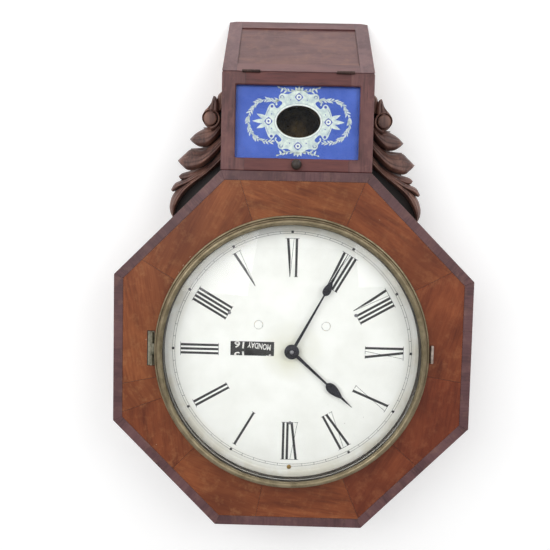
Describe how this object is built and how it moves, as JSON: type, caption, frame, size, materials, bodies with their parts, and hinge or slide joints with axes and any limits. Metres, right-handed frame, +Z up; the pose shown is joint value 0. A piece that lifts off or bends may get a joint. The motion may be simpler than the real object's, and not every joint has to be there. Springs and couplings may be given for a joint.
{
  "type": "drop octagon wall clock",
  "caption": "Octagonal wall clock with a calendar dial behind a hinged domed bezel, carved ears, and a drop with a stencilled glass door and a sloping foot.",
  "frame": {"origin": "on the wall face of the back board, on the dial's axis", "axes": "+Z up with XII at the top, +Y into the wall, +X to the right of someone reading the dial"},
  "size_m": [0.432, 0.1265, 0.6341],
  "materials": {
    "mahogany": "aged shellac over figured veneer",
    "pine": "bare softwood",
    "carving": "carved and stained, worn satin",
    "dial_paint": "aged matt enamel",
    "calendar_paint": "matt black",
    "black_steel": "satin black",
    "bezel_brass": "dull, tarnished",
    "brass": "aged, satin",
    "steel": "grey, satin",
    "iron": "dark, rough",
    "clear_glass": "polished, domed",
    "tablet_glass": "painted on the back"
  },
  "bodies": {
    "case": {"back_board": "pine", "head_ring": "pine", "octagon_front": "mahogany", "drop_side_left": "mahogany", "drop_side_right": "mahogany", "chisel_frame": "mahogany", "chisel_panel": "mahogany", "ear_left": "carving", "ear_right": "carving", "hanger_plate": "iron", "movement_block_left": "pine", "movement_block_right": "pine", "dial_plate": "dial_paint", "dial_screw_top": "steel", "dial_screw_right": "steel", "dial_screw_left": "steel", "dial_pin": "brass", "bezel_hinge_plate": "brass", "case_leaf_left": "brass", "case_leaf_right": "brass", "calendar_plate": "calendar_paint", "movement_front_plate": "brass", "movement_back_plate": "brass", "suspension_post": "brass", "gong": "steel", "gong_stand": "iron", "time_mainspring": "steel", "strike_mainspring": "steel"},
    "bezel": {"bezel_ring": "bezel_brass", "dial_glass": "clear_glass", "bezel_leaf": "brass", "bezel_tab": "steel"},
    "door": {"door_frame": "mahogany", "tablet_glass": "tablet_glass", "tablet_bead": "pine", "door_knob": "black_steel", "door_leaf_left": "brass", "door_leaf_right": "brass"},
    "minute": {"centre_wheel": "brass", "minute_hand": "black_steel", "hand_nut": "steel"},
    "hour": {"hour_wheel": "brass", "hour_hand": "black_steel"},
    "motion_work": {"minute_wheel": "brass"},
    "time_great": {"time_great_wheel": "brass"},
    "second": {"second_wheel": "brass"},
    "third": {"third_wheel": "brass"},
    "escape": {"escape_wheel": "brass"},
    "anchor": {"verge": "steel"},
    "pendulum": {"pendulum_rod": "steel", "pendulum_bob": "brass"},
    "nut": {"rating_nut": "brass"},
    "time_winder": {"time_winding_arbor": "steel"},
    "strike_winder": {"strike_winding_arbor": "steel"},
    "strike_great": {"strike_great_wheel": "brass"},
    "hammer": {"strike_hammer": "steel"},
    "day": {"day_disc": "calendar_paint"},
    "date": {"date_ring": "calendar_paint"},
    "plug_left": {"winding_plug_left": "dial_paint"},
    "plug_right": {"winding_plug_right": "dial_paint"}
  },
  "joints": [
    {"name": "bezel_hinge", "type": "hinge", "parent": "case", "child": "bezel", "pos_m": [0.169, -0.1014, -0.0007], "axis": [0, 0, 1], "range_deg": [0, 110]},
    {"name": "door_hinge", "type": "hinge", "parent": "case", "child": "door", "pos_m": [0, -0.1, -0.33215], "axis": [1, 0, 0], "range_deg": [0, 120]},
    {"name": "minute_turn", "type": "hinge", "parent": "case", "child": "minute", "pos_m": [0, 0, 0], "axis": [0, 1, 0], "continuous": true},
    {"name": "hour_turn", "type": "hinge", "parent": "case", "child": "hour", "pos_m": [0, 0, 0], "axis": [0, 1, 0], "continuous": true},
    {"name": "motion_work_turn", "type": "hinge", "parent": "case", "child": "motion_work", "pos_m": [0, 0, -0.024], "axis": [0, 1, 0], "continuous": true},
    {"name": "time_great_turn", "type": "hinge", "parent": "case", "child": "time_great", "pos_m": [0.041, 0, -0.031], "axis": [0, 1, 0], "continuous": true},
    {"name": "second_turn", "type": "hinge", "parent": "case", "child": "second", "pos_m": [0.02983, 0, 0.00322], "axis": [0, 1, 0], "continuous": true},
    {"name": "third_turn", "type": "hinge", "parent": "case", "child": "third", "pos_m": [-0.01626, 0, 0.02322], "axis": [0, 1, 0], "continuous": true},
    {"name": "escape_turn", "type": "hinge", "parent": "case", "child": "escape", "pos_m": [0, 0, 0.03942], "axis": [0, 1, 0], "continuous": true},
    {"name": "pendulum_swing", "type": "hinge", "parent": "case", "child": "pendulum", "pos_m": [0, 0, 0.064], "axis": [0, 1, 0], "range_deg": [-3.5, 3.5]},
    {"name": "anchor_rock", "type": "hinge", "parent": "case", "child": "anchor", "pos_m": [0, 0, 0.064], "axis": [0, 1, 0], "range_deg": [-3.5, 3.5]},
    {"name": "rating_nut_turn", "type": "hinge", "parent": "pendulum", "child": "nut", "pos_m": [0, -0.022, -0.30825], "axis": [0, 0, 1], "continuous": true},
    {"name": "time_winding", "type": "hinge", "parent": "case", "child": "time_winder", "pos_m": [0.041, 0, -0.031], "axis": [0, 1, 0], "continuous": true},
    {"name": "strike_winding", "type": "hinge", "parent": "case", "child": "strike_winder", "pos_m": [-0.041, 0, -0.031], "axis": [0, 1, 0], "continuous": true},
    {"name": "strike_great_turn", "type": "hinge", "parent": "case", "child": "strike_great", "pos_m": [-0.041, 0, -0.031], "axis": [0, 1, 0], "continuous": true},
    {"name": "hammer_lift", "type": "hinge", "parent": "case", "child": "hammer", "pos_m": [-0.03, 0, -0.052], "axis": [0, 1, 0], "range_deg": [0, 12]},
    {"name": "day_turn", "type": "hinge", "parent": "case", "child": "day", "pos_m": [0, 0, 0], "axis": [0, 1, 0], "continuous": true},
    {"name": "date_turn", "type": "hinge", "parent": "case", "child": "date", "pos_m": [0, 0, 0], "axis": [0, 1, 0], "continuous": true},
    {"name": "plug_left_pull", "type": "slide", "parent": "case", "child": "plug_left", "axis": [0, -1, 0], "range_m": [0, 0.02]},
    {"name": "plug_right_pull", "type": "slide", "parent": "case", "child": "plug_right", "axis": [0, -1, 0], "range_m": [0, 0.02]}
  ],
  "couplings": [
    {"joint": "hour_turn", "follows": "minute_turn", "ratio": 0.083333},
    {"joint": "motion_work_turn", "follows": "minute_turn", "ratio": -0.33333},
    {"joint": "second_turn", "follows": "minute_turn", "ratio": -0.25},
    {"joint": "time_great_turn", "follows": "minute_turn", "ratio": 0.0625},
    {"joint": "third_turn", "follows": "minute_turn", "ratio": -8},
    {"joint": "escape_turn", "follows": "minute_turn", "ratio": 64},
    {"joint": "anchor_rock", "follows": "pendulum_swing", "ratio": 1},
    {"joint": "date_turn", "follows": "day_turn", "ratio": 0.45161}
  ]
}
